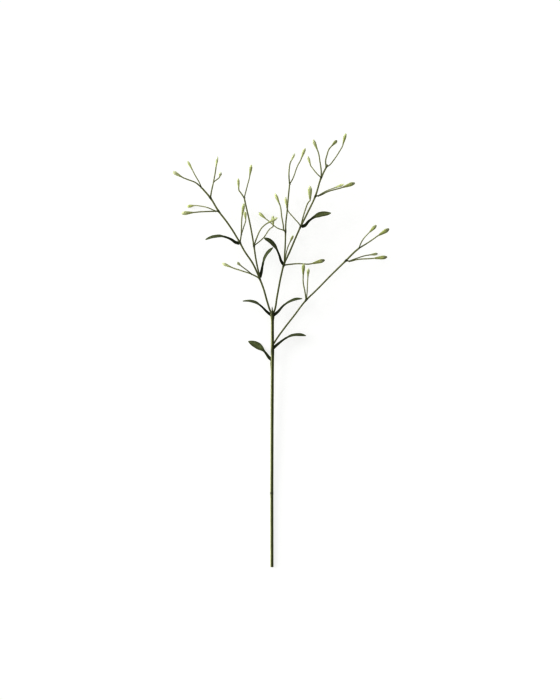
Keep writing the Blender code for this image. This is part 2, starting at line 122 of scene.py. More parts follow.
# The buds
SEPALS = 5
BUD_SIDES = 60
CALYX_ROWS = 40
PETAL_ROWS = 24
SEPAL_THICKNESS = 0.3
PETAL_FOOT = 0.45

# The studio, and the camera that looks straight down on the stem
FLOOR_REACH = 6000.0
FLOOR_DROP = 0.05
WHITE = (1.0, 1.0, 1.0, 1.0)
# Each sun's strength, its width in degrees and the way that it shines
LIGHTS = {
    "key": (3.0, 45, (0.93, -0.25, -0.27)),
    "overhead": (1.2, 100, (0.25, -0.12, -0.96)),
}
CAMERA_PLACE = (12.58, 351.2, 8032.0)
CAMERA_LENS = 255.15
VIEW_GAMMA = 0.6

# The main stem's axis: x, y, z and the radius there
MAIN_STEM = (
    (-0.6, 0.0, 2.32, STEM_RADIUS),
    (-0.8, 117.5, 3.6, STEM_RADIUS),
    (-0.8, 119.5, 3.6, STEM_RADIUS + LOW_NODE_SWELLING),
    (-0.8, 121.5, 3.6, STEM_RADIUS),
    (-0.3, 260.0, 8.0, STEM_RADIUS),
    (0.2, 332.0, 11.6, STEM_RADIUS),
    (0.4, 352.0, 12.6, STEM_RADIUS + FORK_SWELLING),
    (0.3, 364.0, 13.3, STEM_RADIUS),
    (0.2, 398.0, 15.6, STEM_RADIUS),
    (0.2, 405.0, 16.1, COLLAR_RADIUS),
    (0.2, 411.5, 16.6, COLLAR_RADIUS),
    (0.1, 413.5, 16.8, STEM_SPUR_RADIUS),
    (-0.1, 421.0, 17.4, STEM_TIP_RADIUS),
)
# Where its skin darkens at a knot: how far along, over what length and how much
STEM_KNOTS = ((119.5, 1.4, 0.8), (350.0, 6.0, 0.55), (411.0, 5.0, 0.5))
# The low left leaf's sheath runs down the stem's left side as a ridge
SHEATH = ((-1.3, 338.0, 12.4), (-2.3, 331.0, 12.0), (-2.2, 322.0, 11.3), (-1.7, 313.0, 10.7))
# The cut end from its rim inwards: how wide each ring is, and how far it rises
CUT_RINGS = ((0.1, 0.0), (0.35, 0.0), (0.08, -0.12), (0.7, 0.0), (0.5, -0.04))

# Each branch: its axis, its radius at the root, middle and end, which points of the axis
# swell into knots, and the way of each stalk from its knot to near its bud. The bud's own
# solid gives the rest. A second stalk may leave the first at a fork beyond the knot.
BRANCHES = {
    "left": {
        "axis": (
            (0.2, 408, 16.2), (-3, 414, 16.8), (-8, 429, 18.6), (-14.5, 451.5, 22),
            (-20.5, 467, 24), (-31, 490, 28.5), (-45.5, 512, 32), (-52, 524, 33), (-72, 556, 37),
            (-86.5, 575, 38.5), (-99.5, 596, 40), (-114, 613, 41),
        ),
        "radii": (1.35, 1.25, 1.3),
        "knots": (4, 7, 9, 10),
        "stalks": {
            "1a": ((-20.5, 467, 24), (-33, 473.5, 24), (-49, 479, 22)),
            "1b": ((-33, 473.5, 24), (-41, 480, 34)),
            "2a": ((-52, 524, 33), (-50, 537, 34), (-49.5, 552, 35)),
            "2b": ((-50, 537, 34), (-47, 546.5, 29)),
            "3a": ((-86.5, 575, 38.5), (-100, 574.5, 40), (-118, 573.5, 43)),
            "3b": ((-91, 575, 38.7), (-103.5, 580.5, 33), (-119, 584, 22)),
            "4a": ((-99.5, 596, 40), (-98.5, 603, 41), (-94.5, 621.5, 46)),
            "4b": ((-94.5, 621.5, 46), (-91, 624, 50)),
            "5a": ((-114, 613, 41), (-123, 620.5, 42.5), (-137, 626, 45)),
            "5b": ((-114, 613, 41), (-117, 620, 38), (-126.5, 637, 30)),
        },
    },
    "left_inner": {
        "axis": (
            (-20.5, 467, 24), (-20.5, 471.5, 28), (-22.5, 479, 31), (-26, 496, 34.5),
            (-29.5, 519, 38), (-35.5, 553, 43), (-43, 586.5, 48), (-45, 596, 49),
        ),
        "radii": (1.15, 1.1, 1.1),
        "knots": (4,),
        "stalks": {
            "1a": ((-29.5, 519, 38), (-25, 531.5, 43), (-16, 548.5, 50)),
            "1b": ((-29.5, 519, 38), (-14, 532, 40), (-3, 547, 41)),
            "2a": ((-45, 596, 49), (-51, 605, 39)),
            "2b": ((-45, 596, 49), (-40, 615.5, 51)),
        },
    },
    "right": {
        "axis": (
            (0.2, 408, 16.2), (3, 413.5, 17), (8, 438.5, 20.5), (14.5, 472, 24.5), (18.5, 488, 26),
            (27, 507, 29), (46, 550.5, 36), (56, 570.5, 39), (69.5, 599, 42.5), (79, 629, 46),
            (87, 645.5, 48), (89, 649.5, 48.5),
        ),
        "radii": (1.3, 1.25, 1.2),
        "knots": (4, 6, 8, 9),
        "stalks": {
            "1a": ((18.5, 488, 26), (25, 489, 26), (41, 490.5, 24)),
            "1b": ((18.5, 488, 26), (20.5, 497, 22.5), (25.5, 518, 20)),
            "2a": ((46, 550.5, 36), (53, 576, 38), (58.5, 589.5, 39)),
            "2b": ((46, 550.5, 36), (43, 555, 34.5), (35.5, 563.5, 30)),
            "3a": ((69.5, 599, 42.5), (74, 599.5, 42), (90, 606.5, 40)),
            "3b": ((74, 599.5, 42), (84, 605.5, 49)),
            "4a": ((79, 629, 46), (79, 637.5, 46.5), (77, 653.5, 48)),
            "4b": ((79, 629, 46), (76.5, 631, 44.5), (64.5, 645, 33)),
            "5a": ((87, 645.5, 48), (86, 654.5, 44), (88.5, 666, 36), (92.5, 676.5, 28)),
            "5b": ((87, 645.5, 48), (92, 648.5, 48.5), (99.5, 657.5, 49), (107.5, 669.5, 50)),
        },
    },
    "right_inner": {
        "axis": (
            (18.5, 488, 26), (19.5, 492.5, 30), (20, 503, 34), (21, 521, 38), (21.5, 542, 42),
            (22, 556.5, 45), (24, 574.5, 48), (25.5, 592.5, 51), (28, 618, 55),
        ),
        "radii": (1.1, 1.05, 1.0),
        "knots": (4,),
        "stalks": {
            "1a": ((21.5, 542, 42), (19, 544, 42), (18, 551, 41.5), (15.5, 565, 39)),
            "1b": ((19, 544, 42), (10, 547, 36), (-6.5, 560, 22)),
            "2a": ((28, 618, 55), (27, 630.5, 48), (27.5, 643.5, 39)),
            "2b": ((28, 618, 55), (31.5, 623.5, 55.5), (41, 647.5, 58)),
        },
    },
    "low_right": {
        "axis": (
            (0.4, 358.5, 12.8), (8, 370.5, 14.5), (20, 387, 17), (34, 405, 19.5), (55, 432, 22.5),
            (71, 447.5, 25), (93.5, 470.5, 28.5), (119, 495.5, 32), (133, 509.5, 33.5),
            (140, 515.5, 34),
        ),
        "radii": (1.2, 1.15, 1.3),
        "knots": (4, 7),
        "stalks": {
            "1a": ((55, 432, 22.5), (52.5, 447, 24), (50, 461, 25.5)),
            "1b": ((55, 432, 22.5), (56.5, 447, 31), (57, 461, 38)),
            "2a": ((119, 495.5, 32), (124, 494.5, 32), (136.5, 497, 33)),
            "2b": ((124, 494.5, 32), (136, 499, 27.5), (150, 503.5, 18)),
            "3a": ((140, 515.5, 34), (151, 522, 35), (165, 531.5, 37)),
            "3b": ((140, 515.5, 34), (143, 523.5, 40), (151, 535, 52)),
        },
    },
}

# How high a leaf's midrib lies where the leaf rests on the surface
REST = 0.45
# Each leaf: its share of painted sunlight, which makes its face paler, how far it is rolled about
# its midrib in degrees, along its stalk, where its blade begins and at its tip, and the midrib
LEAVES = {
    "low_left": (0.75, (0, 0, 0), (
        (0.4, 335, 12), (-4, 338, 11.5), (-9.5, 345, 6.5), (-15.5, 352, 2), (-22.5, 357.5, REST),
        (-39, 365.5, REST))),
    "low_right": (0.0, (-34, -76, -55), (
        (0.6, 353, 12.6), (10.5, 361.5, 13.5), (22, 370, 14), (30, 373.5, 13.5), (45, 375.5, 12),
        (54.5, 374, 11))),
    "fork_left": (0.4, (37, 70, 70), (
        (0.3, 406, 16), (-8, 412, 16.5), (-17, 421, 18), (-22.5, 425, 18.5), (-35.5, 430, 18),
        (-47.5, 430, 16))),
    "fork_right": (0.0, (-26, -74, -64), (
        (0.3, 406, 16), (9, 412.5, 16.5), (17.5, 422, 18), (23, 426, 18.5), (37, 432.5, 18),
        (48.5, 434, 16))),
    "left_knot": (0.0, (-8, -72, -55), (
        (-20.5, 467, 24), (-17.5, 477, 23), (-15.5, 487.5, 21.5), (-13, 496, 20.5),
        (-7.5, 507.5, 19.5), (1.5, 516.5, 18))),
    "left_branch": (0.0, (21, 70, 58), (
        (-51.5, 523, 33), (-59, 524.5, 33.5), (-65.5, 529, 34), (-77.5, 533.5, 34.5),
        (-94.5, 533.5, 33), (-107.5, 529, 30))),
    "right_knot": (0.0, (37, 68, 32), (
        (18.5, 488, 26), (14, 495, 27), (11.5, 503, 28.5), (3, 519.5, 31), (-2.5, 525.5, 31),
        (-13.5, 532, 29))),
    "right_branch": (0.9, (-4, -50, -28), (
        (46, 550.5, 36), (52, 551.5, 35), (59, 559, 34), (66.5, 564.5, 33), (75.5, 568.5, 32),
        (95, 572, 31))),
}

# A closed bud's outline: how far along it, and the half width there as a share of its widest
BUD_OUTLINE = (
    (0.0, 0.42), (0.20, 0.60), (0.42, 0.84), (0.64, 1.00), (0.82, 0.93), (0.94, 0.62), (1.0, 0.25))

# How pale each bud is, from 0 to 1, half way where it isn't named: partly its ripeness and
# partly painted light on it
RIPE_AND_LIT = {
    "left_1a": 0.6, "left_1b": 0.6, "left_2a": 0.3, "left_3b": 0.0, "left_4a": 0.8, "left_5a": 1.0,
    "left_5b": 0.3, "left_inner_2a": 0.3, "left_inner_2b": 0.2, "right_1a": 0.1, "right_1b": 0.2,
    "right_2b": 0.8, "right_3a": 0.1, "right_4b": 0.4, "right_5a": 0.1, "right_5b": 0.1,
    "right_inner_1b": 0.2, "right_inner_2a": 0.9, "low_right_1a": 0.0, "low_right_2a": 0.0,
    "low_right_2b": 0.8, "low_right_3a": 0.0, "low_right_3b": 0.0,
}
# How much painted shade darkens the tip of each bud that points away from the key light
PAINTED_TIP_SHADE = {
    "right_1a": 0.8, "right_3a": 0.6, "right_5a": 1.0, "low_right_2a": 0.7, "low_right_2b": 0.8,
    "low_right_3a": 0.7, "low_right_3b": 0.6,
}


def linear(code):
    """A colour written as an sRGB hex code, as linear red, green, blue and alpha."""
    parts = [int(code[i:i + 2], 16) / 255 for i in (1, 3, 5)]
    return (*((p / 12.92 if p <= 0.04045 else ((p + 0.055) / 1.055) ** 2.4) for p in parts), 1.0)


def feed(node, inputs):
    """Give a node's inputs, by name or number, their values, sockets or other nodes."""
    for key, value in inputs.items():
        socket = node.inputs[key] if isinstance(key, int) else next(
            socket for socket in node.inputs if socket.name == key and socket.enabled)
        if isinstance(value, bpy.types.Node):
            value = next(output for output in value.outputs if output.enabled)
        if isinstance(value, bpy.types.NodeSocket):
            node.id_data.links.new(value, socket)
        else:
            socket.default_value = value


def add_node(tree, kind, inputs=None, points=None, handles="AUTO_CLAMPED", stops=None,
             **settings):
    """One node, with its settings, its inputs, and its curve or its ramp of hex colours."""
    node = tree.nodes.new(kind)
    for name, value in settings.items():
        setattr(node, name, value)
    feed(node, inputs or {})
    if points:
        curve = node.mapping.curves[0]
        while len(curve.points) < len(points):
            curve.points.new(0.5, 0.5)
        for point, place in zip(curve.points, points):
            point.location = place
            point.handle_type = handles
        node.mapping.update()
    if stops:
        elements = node.color_ramp.elements
        while len(elements) < len(stops):
            elements.new(0.5)
        for element, (place, colour) in zip(elements, stops):
            element.position = place
            element.color = linear(colour)
    return node


def new_tree(name, inputs):
    """A Geometry Nodes tree, what adds a node to it, and its named inputs."""
    tree = bpy.data.node_groups.new(name, "GeometryNodeTree")
    tree.interface.new_socket("Geometry", in_out="INPUT", socket_type="NodeSocketGeometry")
    tree.interface.new_socket("Geometry", in_out="OUTPUT", socket_type="NodeSocketGeometry")
    for label, kind in inputs.items():
        tree.interface.new_socket(label, in_out="INPUT", socket_type="NodeSocket" + kind)
    add = partial(add_node, tree)
    return tree, add, {socket.name: socket for socket in add("NodeGroupInput").outputs}


def end_tree(add, shape, skin=None):
    """Shade a tree's shape smooth, make it one mesh, and cover it unless it is covered."""
    smooth = add("GeometryNodeSetShadeSmooth", {"Geometry": shape, "Shade Smooth": True})
    real = add("GeometryNodeRealizeInstances", {"Geometry": smooth})
    if skin:
        real = add("GeometryNodeSetMaterial", {"Geometry": real, "Material": skin})
    add("NodeGroupOutput", {"Geometry": real})


def show(name, data):
    """A new object with that mesh, light or camera, at the origin."""
    piece = bpy.data.objects.new(name, data)
    SCENE.collection.objects.link(piece)
    return piece


def settled(piece):
    """A piece's mesh as its modifiers leave it."""
    graph = bpy.context.evaluated_depsgraph_get()
    return bpy.data.meshes.new_from_object(piece.evaluated_get(graph), depsgraph=graph)


def store(mesh, label, values, kind="FLOAT"):
    """Store a value or a vector for each point of a mesh as an attribute of that name."""
    layer = mesh.attributes.new(label, kind, "POINT")
    layer.data.foreach_set("value" if kind == "FLOAT" else "vector", values)


def grow(name, seed_mesh, tree, values):
    """A plain mesh object that a tree grows from a seed mesh, with the tree's inputs by name."""
    seed = show(name, seed_mesh)
    modifier = seed.modifiers.new("grow", "NODES")
    modifier.node_group = tree
    for item in tree.interface.items_tree:
        if item.in_out == "INPUT" and item.name in values:
            modifier[item.identifier] = values[item.name]
    mesh = settled(seed)
    bpy.data.objects.remove(seed)
    return show(name, mesh)


def cut_end():
    """Where the tables' origin lies in the frame, found from the middle of the stem's cut end."""
    places = np.array([v.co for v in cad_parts["main_stem"].data.vertices])
    ring = places[places[:, 1] < places[:, 1].min() + 0.01 * MM]
    middle = (ring[:, 0].min() + ring[:, 0].max()) / 2
    return Vector((middle - MAIN_STEM[0][0] * MM, ring[:, 1].min(), 0.0))


ORIGIN = cut_end()


def at(point):
    """A place of the tables, in metres in the frame."""
    return ORIGIN + Vector(point) * MM


def smooth_route(points, step, arrival=None):
    """A smooth curve through places of the tables, in steps of about that many millimetres,
    and the way in which it arrives, where that is given."""
    points = [point if isinstance(point, Vector) else at(point) for point in points]
    spans = [(b - a).length for a, b in zip(points, points[1:])]
    slopes = [(points[1] - points[0]) / spans[0]]
    for i in range(1, len(points) - 1):
        before = (points[i] - points[i - 1]) / spans[i - 1]
        after = (points[i + 1] - points[i]) / spans[i]
        slopes.append(before.lerp(after, spans[i - 1] / (spans[i - 1] + spans[i])))
    slopes.append(arrival or (points[-1] - points[-2]) / spans[-1])
    route = [points[0]]
    for i, span in enumerate(spans):
        count = max(1, round(span / (step * MM)))
        for k in range(1, count + 1):
            t = k / count
            place = points[i] * (2 * t**3 - 3 * t**2 + 1)
            place = place + slopes[i] * span * (t**3 - 2 * t**2 + t)
            place = place + points[i + 1] * (3 * t**2 - 2 * t**3)
            place = place + slopes[i + 1] * span * (t**3 - t**2)
            route.append(place)
    return route


def run_along(route):
    """How far along the route each of its points lies, in metres."""
    run = [0.0]
    for a, b in zip(route, route[1:]):
        run.append(run[-1] + (b - a).length)
    return run


def directions(route):
    """The direction of travel at each point of a route."""
    ends = [(route[max(i - 1, 0)], route[min(i + 1, len(route) - 1)]) for i in range(len(route))]
    return [(after - before).normalized() for before, after in ends]


def bud_ends(node):
    """The foot, the tip and the half width of a bud's solid, read from its first and last ring."""
    places = np.unique(
        np.round([v.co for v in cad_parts[node].data.vertices], 8), axis=0)
    middle = places.mean(axis=0)
    axis = np.linalg.svd(places - middle)[2][0]
    run = (places - middle) @ axis
    order = np.argsort(run)
    ring = len(places) // len(BUD_OUTLINE)
    ends = [places[order[:ring]], places[order[-ring:]]]
    centres = [end.mean(axis=0) for end in ends]
    widths = [np.linalg.norm(end - centre, axis=1).max() for end, centre in zip(ends, centres)]
    foot, tip = centres if widths[0] > widths[1] else centres[::-1]
    ahead = (tip - foot) / np.linalg.norm(tip - foot)
    beside = (places - foot) - np.outer((places - foot) @ ahead, ahead)
    return Vector(foot), Vector(tip), float(np.linalg.norm(beside, axis=1).max())


# Materials


def new_material(name, roughness, gloss):
    """A new material: what adds a node to it, its shader, and coordinates on the object."""
    material = bpy.data.materials.new(name)
    material.use_nodes = True
    shader = material.node_tree.nodes["Principled BSDF"]
    feed(shader, {"Roughness": roughness, "Specular IOR Level": gloss})
    add = partial(add_node, material.node_tree)
    return material, add, shader, add("ShaderNodeTexCoord").outputs["Object"]


def waxy_stem():
    """Green stem epidermis: dark olive under a thin wax, in fine lengthwise streaks, darker at
    the knots, with a painted highlight that makes the flank facing the key light paler."""
    material, add, shader, place = new_material("waxy_stem_epidermis", 0.5, 0.2)
    # Streaks 0.5 mm wide and 15 mm long; finer ones would not show
    long_way = add("ShaderNodeMapping", {"Vector": place, "Scale": (2000, 66, 2000)})
    streaks = add("ShaderNodeTexNoise", {"Vector": long_way, "Scale": 1.0, "Detail": 3.0})
    colour = add(
        RAMP, {"Fac": streaks}, stops=((0.3, "#53573c"), (0.55, "#6b6f4e"), (0.75, "#878b67")))
    # Cloudy growth patches, about 12 mm
    clouds = add("ShaderNodeTexNoise", {"Vector": place, "Scale": 80.0, "Detail": 2.0})
    clouded = add(
        MIX, {"Factor": clouds, "A": colour, "B": linear("#a8ad93")},
        data_type="RGBA", blend_type="OVERLAY")
    # Painted highlight: the flank that faces the key light, towards -X, is painted paler
    normal = add("ShaderNodeNewGeometry").outputs["Normal"]
    facing = add("ShaderNodeSeparateXYZ", {"Vector": normal}).outputs["X"]
    lit_flank = add(
        "ShaderNodeMapRange",
        {"Value": facing, "From Min": -0.2, "From Max": -0.8, "To Max": 0.75},
        interpolation_type="SMOOTHSTEP")
    sunned = add(MIX, {"Factor": lit_flank, "A": clouded, "B": linear("#c8cba5")}, data_type="RGBA")
    knot = add("ShaderNodeAttribute", attribute_name="knot").outputs["Fac"]
    aged = add(MIX, {"Factor": knot, "A": sunned, "B": linear("#484b39")}, data_type="RGBA")
    relief = add("ShaderNodeBump", {"Height": streaks, "Strength": 0.35, "Distance": 0.15 * MM})
    feed(shader, {"Base Color": aged, "Normal": relief})
    return material


def fine_stalk():
    """Young stalk skin: olive on the branch, greyer and paler towards the buds, nearly black
    in the knots, with a fine mottle."""
    material, add, shader, place = new_material("young_stalk_epidermis", 0.55, 0.2)
    # Mottle of about 2.4 mm, coarser than the real one
    mottle = add("ShaderNodeTexNoise", {"Vector": place, "Scale": 420.0, "Detail": 3.0})
    branch = add(RAMP, {"Fac": mottle}, stops=((0.3, "#606544"), (0.7, "#7e845e")))
    young = add(RAMP, {"Fac": mottle}, stops=((0.3, "#878a66"), (0.7, "#a4a780")))
    reach = add("ShaderNodeAttribute", attribute_name="reach").outputs["Fac"]
    greened = add(MIX, {"Factor": reach, "A": branch, "B": young}, data_type="RGBA")
    knot = add("ShaderNodeAttribute", attribute_name="knot").outputs["Fac"]
    aged = add(MIX, {"Factor": knot, "A": greened, "B": linear("#3f432e")}, data_type="RGBA")
    relief = add("ShaderNodeBump", {"Height": mottle, "Strength": 0.3, "Distance": 0.08 * MM})
    feed(shader, {"Base Color": aged, "Normal": relief})
    return material


def leaf_cuticle():
    """Leaf blade under a matt cuticle: a green face between dark margins, a paler midrib and
    thin side veins that run with it, and a dark stalk."""
    material, add, shader, place = new_material("leaf_cuticle", 0.55, 0.12)
    # Cells in clumps of about 2.6 mm, coarser than the real ones
    cells = add("ShaderNodeTexNoise", {"Vector": place, "Scale": 380.0, "Detail": 4.0})
    # A shaded and a sunlit copy of the leaf's colour, painted shade and painted light, mixed by
    # each leaf's share of painted sunlight
    shaded = add(
        RAMP, {"Fac": cells}, stops=((0.3, "#596041"), (0.55, "#656d4d"), (0.8, "#747c5b")))
    sunned = add(
        RAMP, {"Fac": cells}, stops=((0.3, "#6e7554"), (0.55, "#7a815d"), (0.8, "#8b916d")))
    # The side veins lie about 1.5 mm apart where the blade is widest
    blade = add("ShaderNodeUVMap", uv_map="blade")
    across = add("ShaderNodeSeparateXYZ", {"Vector": blade}).outputs["X"]
    turns = add(
        MATH, {0: across, 1: 2 * SIDE_VEINS * math.pi, 2: -SIDE_VEINS * math.pi},
        operation="MULTIPLY_ADD")
    waves = add(MATH, {0: turns}, operation="COSINE")
    vein = add(
        "ShaderNodeMapRange",
        {"Value": waves, "From Min": 0.72, "To Max": 0.3}, interpolation_type="SMOOTHSTEP")
    sun, margin, midrib = (
        add("ShaderNodeAttribute", attribute_name=name).outputs["Fac"]
        for name in ("sun", "margin", "midrib"))
    face = shaded
    for share, over in ((sun, sunned), (margin, linear("#353c26")), (vein, linear("#909b74")),
                        (midrib, linear("#8e9871"))):
        face = add(MIX, {"Factor": share, "A": face, "B": over}, data_type="RGBA")
    height = add(MATH, {0: cells, 1: vein}, operation="SUBTRACT")
    relief = add("ShaderNodeBump", {"Height": height, "Strength": 0.4, "Distance": 0.12 * MM})
    feed(shader, {"Base Color": face, "Normal": relief})
    return material


def bud_colour(add, green_stops, pale_stops, shaded_tip):
    """The colour of a bud's skin from foot to tip: green, and pale where the bud is pale, partly
    from ripeness and partly from painted light, with painted shade darkening the tip of a bud
    that points away from the key light."""
    rise, ripe, blunt = (
        add("ShaderNodeAttribute", attribute_name=name).outputs["Fac"]
        for name in ("rise", "ripe", "blunt"))
    green = add(RAMP, {"Fac": rise}, stops=green_stops)
    pale = add(RAMP, {"Fac": rise}, stops=pale_stops)
    body = add(MIX, {"Factor": ripe, "A": green, "B": pale}, data_type="RGBA")
    # Painted shade: the tip of a bud that points away from the key light is darkened
    near_tip = add(
        "ShaderNodeMapRange",
        {"Value": rise, "From Min": 0.62, "From Max": 0.86}, interpolation_type="SMOOTHSTEP")
    tip_shading = add(MATH, {0: near_tip, 1: blunt}, operation="MULTIPLY")
    return add(MIX, {"Factor": tip_shading, "A": body, "B": linear(shaded_tip)}, data_type="RGBA")


def sepal_flesh():
    """Sepal: flesh that lets some light through, olive at the foot and in the seams, and paler
    towards the tip where a bud is pale, partly from ripeness and partly from painted light."""
    material, add, shader, place = new_material("sepal_flesh", 0.5, 0.2)
    # The last colour is the painted shade on a tip that points away from the key light
    body = bud_colour(
        add, ((0.0, "#94976c"), (0.25, "#a5aa78"), (0.7, "#b8bf8a"), (0.95, "#c8cda0")),
        ((0.0, "#b6bb91"), (0.25, "#d2d7ad"), (0.7, "#e3e8c2"), (0.95, "#edf1d8")), "#7c7e65")
    seam = add("ShaderNodeAttribute", attribute_name="seam").outputs["Fac"]
    deep = add("ShaderNodeMapRange", {"Value": seam, "From Min": 0.6, "To Max": 0.45})
    seamed = add(MIX, {"Factor": deep, "A": body, "B": linear("#8a9063")}, data_type="RGBA")
    # Flecks of about 1.7 mm, coarser than the real ones
    mottle = add("ShaderNodeTexNoise", {"Vector": place, "Scale": 600.0, "Detail": 3.0})
    flecked = add(
        MIX, {"Factor": 0.35, "A": seamed, "B": mottle}, data_type="RGBA", blend_type="SOFT_LIGHT")
    relief = add("ShaderNodeBump", {"Height": mottle, "Strength": 0.25, "Distance": 0.08 * MM})
    feed(shader, {
        "Base Color": flecked, "Normal": relief, "Subsurface Weight": 0.2,
        "Subsurface Scale": 1.2 * MM, "Subsurface Radius": (0.8, 1.0, 0.5)})
    return material


def petal_flesh():
    """Rolled petals: thin, cream-green and soft, paler at the point."""
    material, add, shader, _ = new_material("petal_flesh", 0.5, 0.25)
    # The last colour is the painted shade on a tip that points away from the key light
    body = bud_colour(
        add, ((0.55, "#b8bf8a"), (0.85, "#ced4aa"), (1.0, "#d7dcb6")),
        ((0.55, "#e3e8c2"), (0.85, "#eff2d9"), (1.0, "#f4f6e4")), "#888a72")
    feed(shader, {
        "Base Color": body, "Subsurface Weight": 0.25,
        "Subsurface Scale": 1.2 * MM, "Subsurface Radius": (0.9, 1.0, 0.5)})
    return material


def fresh_pith():
    """Cut pith: damp and spongy, in pale grains of 0.3 mm with greener rims."""
    material, add, shader, place = new_material("fresh_pith", 0.6, 0.4)
    grain = add("ShaderNodeTexVoronoi", {"Vector": place, "Scale": 3300.0})
    cells = add(
        RAMP, {"Fac": grain.outputs["Distance"]}, stops=((0.1, "#c9cf9c"), (0.7, "#99a265")))
    feed(shader, {"Base Color": cells})
    return material


# Trees that grow the pieces


def tube_tree():
    """Grows a closed, faintly ribbed tube round each line of the object, as thick as its girth."""
    tree, add, given = new_tree("ribbed_tube", {
        "Sides": "Int", "Ribs": "Float", "Rib depth": "Float",
        "Wander": "Float", "Wander size": "Float", "Skin": "Material"})
    line = add("GeometryNodeMeshToCurve", {"Mesh": given["Geometry"]})
    ring = add("GeometryNodeCurvePrimitiveCircle", {"Resolution": given["Sides"]})
    place = add("GeometryNodeInputPosition")
    apart = add("ShaderNodeSeparateXYZ", {"Vector": place}).outputs
    angle = add(MATH, {0: apart["Y"], 1: apart["X"]}, operation="ARCTAN2")
    ribs = add(MATH, {0: angle, 1: given["Ribs"]}, operation="MULTIPLY")
    wave = add(MATH, {0: ribs}, operation="COSINE")
    swell = add(MATH, {0: wave, 1: given["Rib depth"], 2: 1.0}, operation="MULTIPLY_ADD")
    ribbed = add("ShaderNodeVectorMath", {0: place, "Scale": swell}, operation="SCALE")
    profile = add(
        "GeometryNodeSetPosition", {"Geometry": ring.outputs["Curve"], "Position": ribbed})
    girth = add("GeometryNodeInputNamedAttribute", {"Name": "girth"})
    tube = add("GeometryNodeCurveToMesh", {
        "Curve": line, "Profile Curve": profile, "Scale": girth, "Fill Caps": True})
    noise = add("ShaderNodeTexNoise", {"Scale": given["Wander size"], "Detail": 1.0})
    swing = add(MATH, {0: noise.outputs[0], 1: 0.5}, operation="SUBTRACT")
    reach = add(MATH, {0: swing, 1: given["Wander"]}, operation="MULTIPLY")
    normal = add("GeometryNodeInputNormal")
    shift = add("ShaderNodeVectorMath", {0: normal, "Scale": reach}, operation="SCALE")
    worn = add("GeometryNodeSetPosition", {"Geometry": tube, "Offset": shift})
    end_tree(add, worn, given["Skin"])
    return tree


def bract_tree():
    """Grows one small pointed scale at each point, laid along its growth, back outwards."""
    tree, add, given = new_tree("bracts", {"Length": "Float", "Skin": "Material"})
    bent = add("GeometryNodeCurvePrimitiveBezierSegment", {
        "Resolution": 12, "Start": (0, 0, 0), "Start Handle": (0.12, 0, 0.3),
        "End Handle": (0.22, 0, 0.75), "End": (0.1, 0, 1.0)})
    along = add("GeometryNodeSplineParameter")
    taper = add(
        "ShaderNodeFloatCurve", {"Value": along.outputs["Factor"]},
        points=((0.0, 0.62), (0.35, 1.0), (0.75, 0.6), (1.0, 0.03)))
    ring = add("GeometryNodeCurvePrimitiveCircle", {"Resolution": 12, "Radius": 0.24})
    flat = add("GeometryNodeTransform", {"Geometry": ring.outputs["Curve"], "Scale": (0.34, 1, 1)})
    scale = add("GeometryNodeCurveToMesh", {
        "Curve": bent, "Profile Curve": flat, "Scale": taper, "Fill Caps": True})
    growth, outward = (
        add("GeometryNodeInputNamedAttribute", {"Name": name}, data_type="FLOAT_VECTOR")
        for name in ("growth", "outward"))
    turned = add(
        "FunctionNodeAxesToRotation", {"Primary Axis": growth, "Secondary Axis": outward},
        primary_axis="Z", secondary_axis="X")
    placed = add("GeometryNodeInstanceOnPoints", {
        "Points": given["Geometry"], "Instance": scale, "Rotation": turned,
        "Scale": given["Length"]})
    end_tree(add, placed, given["Skin"])
    return tree


